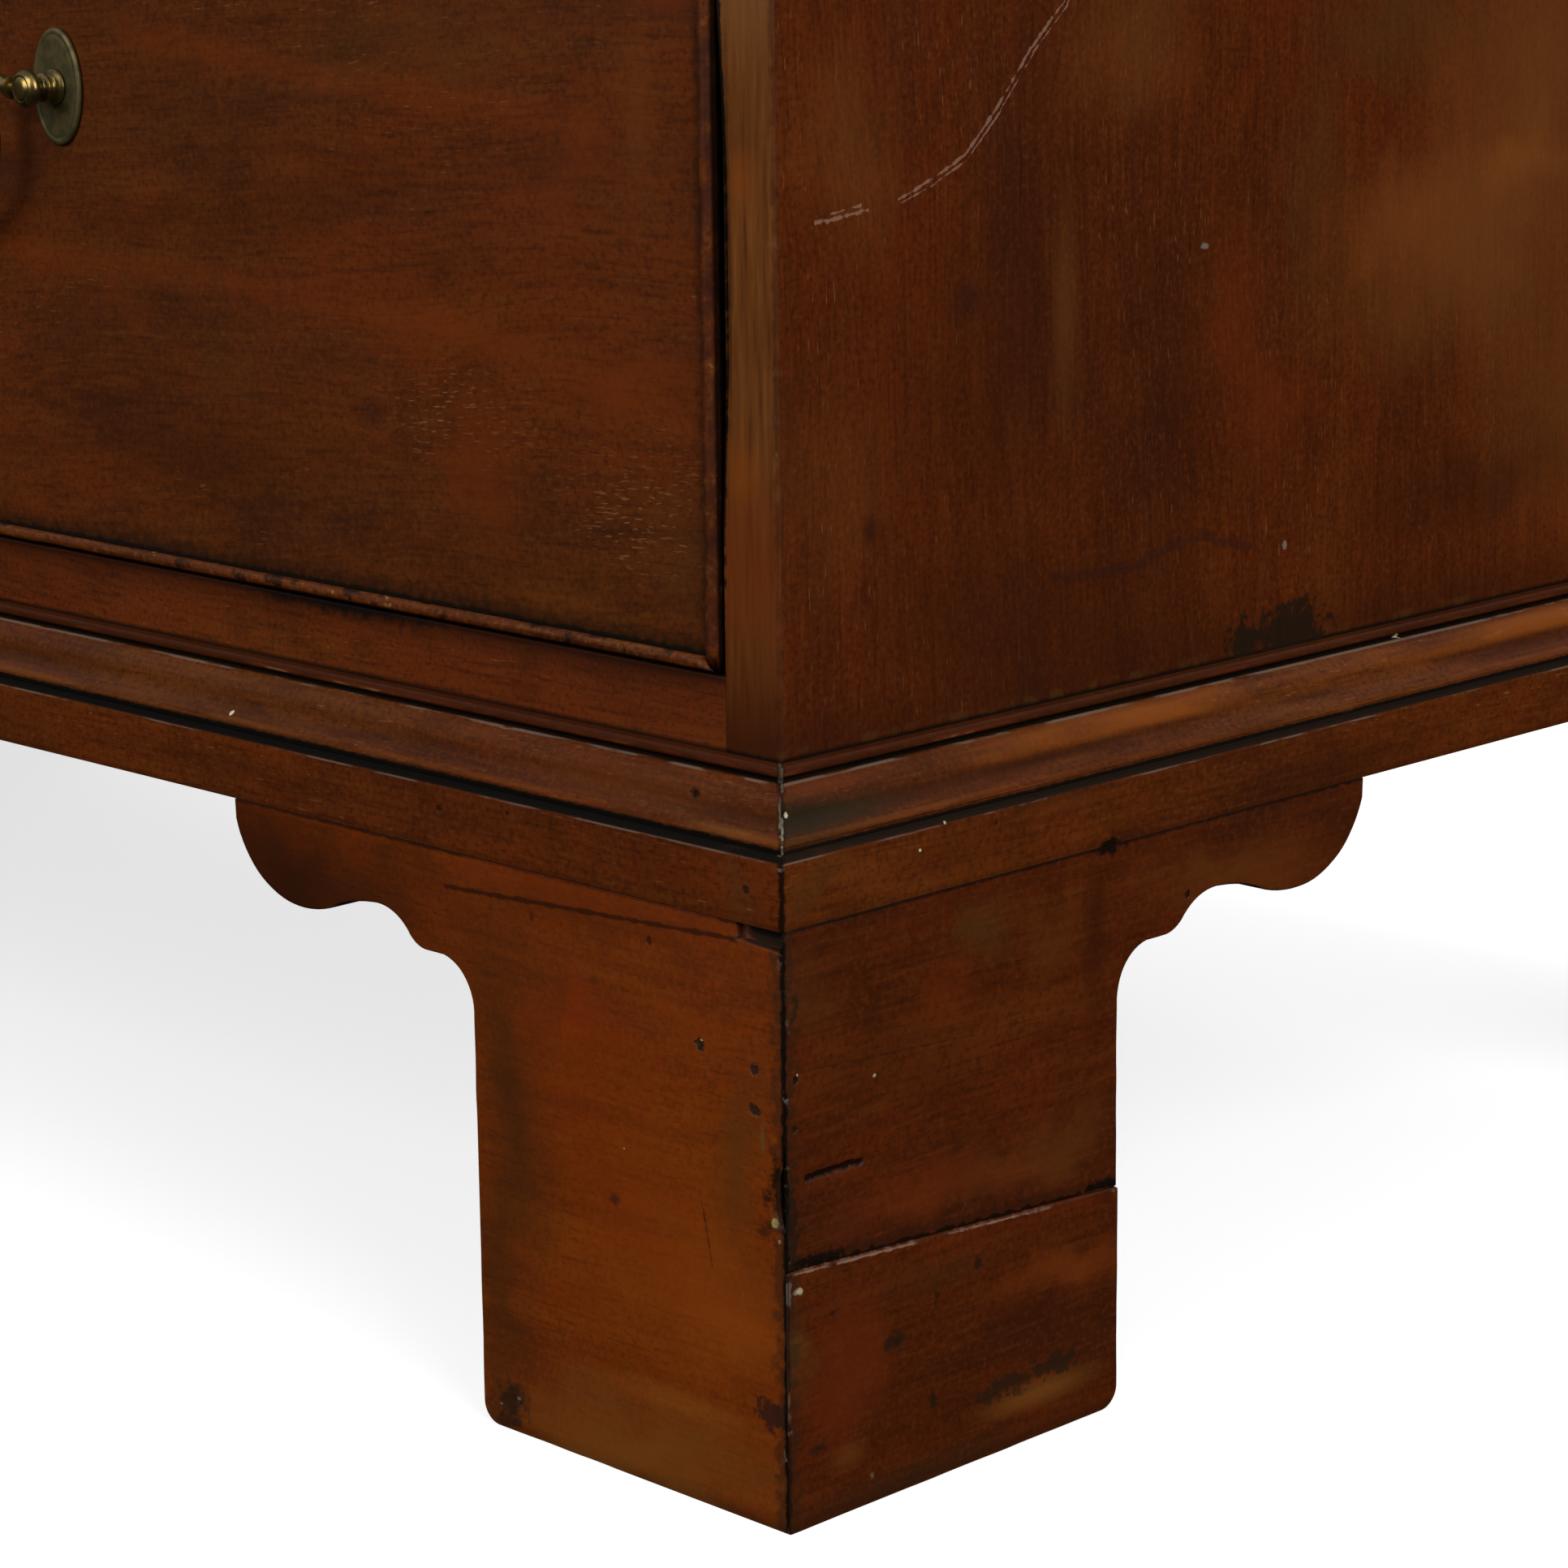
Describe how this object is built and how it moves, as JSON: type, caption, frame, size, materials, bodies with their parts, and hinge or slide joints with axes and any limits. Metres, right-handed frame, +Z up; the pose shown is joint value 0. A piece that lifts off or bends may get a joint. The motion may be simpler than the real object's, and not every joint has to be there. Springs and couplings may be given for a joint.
{
  "type": "bachelors chest",
  "caption": "Small mahogany chest with graduated long drawers, a pull-out brushing slide under the moulded top, swan-neck brass handles and shaped bracket feet.",
  "frame": {"origin": "on the floor below the middle of the bounding box", "axes": "+X to the chest's right seen from the front, +Y to the back, +Z up"},
  "size_m": [0.916, 0.478, 0.81],
  "materials": {
    "mahogany": "aged wax polish, satin",
    "oak": "bare planed drawer linings",
    "deal": "bare sawn secondary wood, darkened",
    "brass": "cast brass, dark patina"
  },
  "bodies": {
    "carcass": {"top_board": "mahogany", "side_left": "mahogany", "side_right": "mahogany", "bottom_board": "deal", "bottom_rail": "mahogany", "rail_lower": "mahogany", "rail_upper": "mahogany", "rail_slide": "mahogany", "dust_boards": "deal", "runners": "deal", "drawer_stops": "deal", "back_boards": "deal", "base_moulding_front": "mahogany", "base_moulding_left": "mahogany", "base_moulding_right": "mahogany", "base_band_front": "mahogany", "base_band_left": "mahogany", "base_band_right": "mahogany", "base_band_back": "deal", "foot_front_left_face": "mahogany", "foot_front_left_side": "mahogany", "foot_front_right_face": "mahogany", "foot_front_right_side": "mahogany", "foot_front_right_tip": "mahogany", "foot_rear_left_side": "mahogany", "foot_rear_right_side": "mahogany", "foot_rear_backs": "deal", "foot_blocks": "deal"},
    "drawer_bottom": {"drawer_bottom_front": "mahogany", "drawer_bottom_beads": "mahogany", "drawer_bottom_sides": "oak", "drawer_bottom_back": "oak", "drawer_bottom_bottom": "oak", "drawer_bottom_handle_mounts": "brass", "drawer_bottom_lock": "brass"},
    "bail_bottom_left": {"drawer_bottom_bail_left": "brass"},
    "bail_bottom_right": {"drawer_bottom_bail_right": "brass"},
    "lock_bolt_bottom": {"drawer_bottom_lock_bolt": "brass"},
    "drawer_middle": {"drawer_middle_front": "mahogany", "drawer_middle_beads": "mahogany", "drawer_middle_sides": "oak", "drawer_middle_back": "oak", "drawer_middle_bottom": "oak", "drawer_middle_handle_mounts": "brass", "drawer_middle_lock": "brass"},
    "bail_middle_left": {"drawer_middle_bail_left": "brass"},
    "bail_middle_right": {"drawer_middle_bail_right": "brass"},
    "lock_bolt_middle": {"drawer_middle_lock_bolt": "brass"},
    "drawer_top": {"drawer_top_front": "mahogany", "drawer_top_beads": "mahogany", "drawer_top_sides": "oak", "drawer_top_back": "oak", "drawer_top_bottom": "oak", "drawer_top_handle_mounts": "brass", "drawer_top_lock": "brass"},
    "bail_top_left": {"drawer_top_bail_left": "brass"},
    "bail_top_right": {"drawer_top_bail_right": "brass"},
    "lock_bolt_top": {"drawer_top_lock_bolt": "brass"},
    "brushing_slide": {"brushing_slide": "mahogany", "slide_knobs": "brass"}
  },
  "joints": [
    {"name": "drawer_bottom_slide", "type": "slide", "parent": "carcass", "child": "drawer_bottom", "axis": [0, -1, 0], "range_m": [0, 0.35]},
    {"name": "bail_bottom_left_swing", "type": "hinge", "parent": "drawer_bottom", "child": "bail_bottom_left", "pos_m": [-0.1615, -0.2305, 0.288], "axis": [-1, 0, 0], "range_deg": [-13, 193]},
    {"name": "bail_bottom_right_swing", "type": "hinge", "parent": "drawer_bottom", "child": "bail_bottom_right", "pos_m": [0.1615, -0.2305, 0.288], "axis": [-1, 0, 0], "range_deg": [-13, 193]},
    {"name": "lock_bolt_bottom_throw", "type": "slide", "parent": "drawer_bottom", "child": "lock_bolt_bottom", "axis": [0, 0, 1], "range_m": [0, 0.007]},
    {"name": "drawer_middle_slide", "type": "slide", "parent": "carcass", "child": "drawer_middle", "axis": [0, -1, 0], "range_m": [0, 0.35]},
    {"name": "bail_middle_left_swing", "type": "hinge", "parent": "drawer_middle", "child": "bail_middle_left", "pos_m": [-0.1615, -0.2305, 0.501], "axis": [-1, 0, 0], "range_deg": [-13, 193]},
    {"name": "bail_middle_right_swing", "type": "hinge", "parent": "drawer_middle", "child": "bail_middle_right", "pos_m": [0.1615, -0.2305, 0.501], "axis": [-1, 0, 0], "range_deg": [-13, 193]},
    {"name": "lock_bolt_middle_throw", "type": "slide", "parent": "drawer_middle", "child": "lock_bolt_middle", "axis": [0, 0, 1], "range_m": [0, 0.007]},
    {"name": "drawer_top_slide", "type": "slide", "parent": "carcass", "child": "drawer_top", "axis": [0, -1, 0], "range_m": [0, 0.35]},
    {"name": "bail_top_left_swing", "type": "hinge", "parent": "drawer_top", "child": "bail_top_left", "pos_m": [-0.1615, -0.2305, 0.684], "axis": [-1, 0, 0], "range_deg": [-13, 193]},
    {"name": "bail_top_right_swing", "type": "hinge", "parent": "drawer_top", "child": "bail_top_right", "pos_m": [0.1615, -0.2305, 0.684], "axis": [-1, 0, 0], "range_deg": [-13, 193]},
    {"name": "lock_bolt_top_throw", "type": "slide", "parent": "drawer_top", "child": "lock_bolt_top", "axis": [0, 0, 1], "range_m": [0, 0.007]},
    {"name": "brushing_slide_pull", "type": "slide", "parent": "carcass", "child": "brushing_slide", "axis": [0, -1, 0], "range_m": [0, 0.28]}
  ]
}
